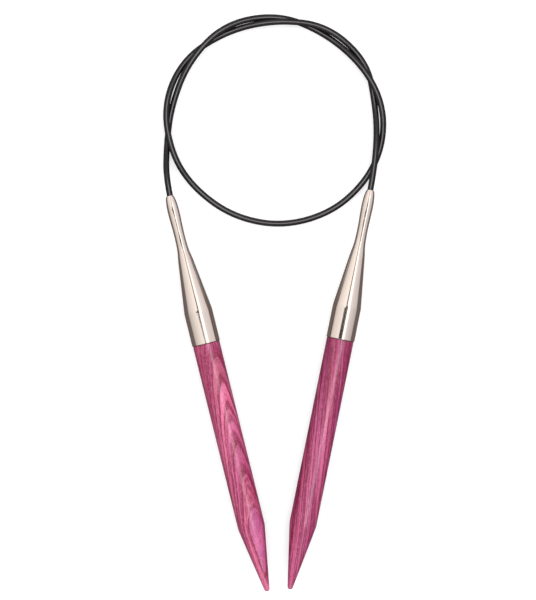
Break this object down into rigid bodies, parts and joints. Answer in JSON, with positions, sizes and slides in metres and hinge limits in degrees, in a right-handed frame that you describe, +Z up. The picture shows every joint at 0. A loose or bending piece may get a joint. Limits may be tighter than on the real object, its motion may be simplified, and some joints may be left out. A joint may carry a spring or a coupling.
{
  "type": "circular knitting needle",
  "caption": "Circular knitting needle: pointed round wood tips in tapered metal ferrules, joined by a thin flexible cable that lies in a twisted loop.",
  "frame": {"origin": "centre of the base of the two needles as they lie, on the surface that they lie on", "axes": "+Z up, -Y the way the points face, +Y towards the cable loop, +X to the right needle"},
  "size_m": [0.066, 0.1705, 0.0083],
  "materials": {
    "left_wood": "laminated dyed birch, face grain, glossy lacquer",
    "right_wood": "laminated dyed birch, edge grain, glossy lacquer",
    "ferrule_metal": "polished nickel plate",
    "crimp_metal": "plain crimped sleeve",
    "cable_black": "smooth black jacket, semi-gloss"
  },
  "bodies": {
    "left_end": {"cable": "cable_black", "left_cable_stop": "crimp_metal"},
    "left_needle": {"left_tip": "left_wood", "left_ferrule": "ferrule_metal"},
    "right_end": {"right_cable_stop": "crimp_metal"},
    "right_needle": {"right_tip": "right_wood", "right_ferrule": "ferrule_metal"}
  },
  "joints": [
    {"name": "loop_flex", "type": "hinge", "parent": "left_end", "child": "right_end", "pos_m": [0.0005, 0.0802, 0.00417], "axis": [0, 0, 1], "range_deg": [-2, 40], "stiffness_Nm_per_rad": 0.002, "deforming": ["cable"]},
    {"name": "left_swivel", "type": "hinge", "parent": "left_end", "child": "left_needle", "pos_m": [-0.0297, 0.0573, 0.00417], "axis": [0.2402, -0.9707, 0], "continuous": true},
    {"name": "right_swivel", "type": "hinge", "parent": "right_end", "child": "right_needle", "pos_m": [0.0295, 0.059, 0.00417], "axis": [-0.1985, -0.9801, 0], "continuous": true}
  ]
}
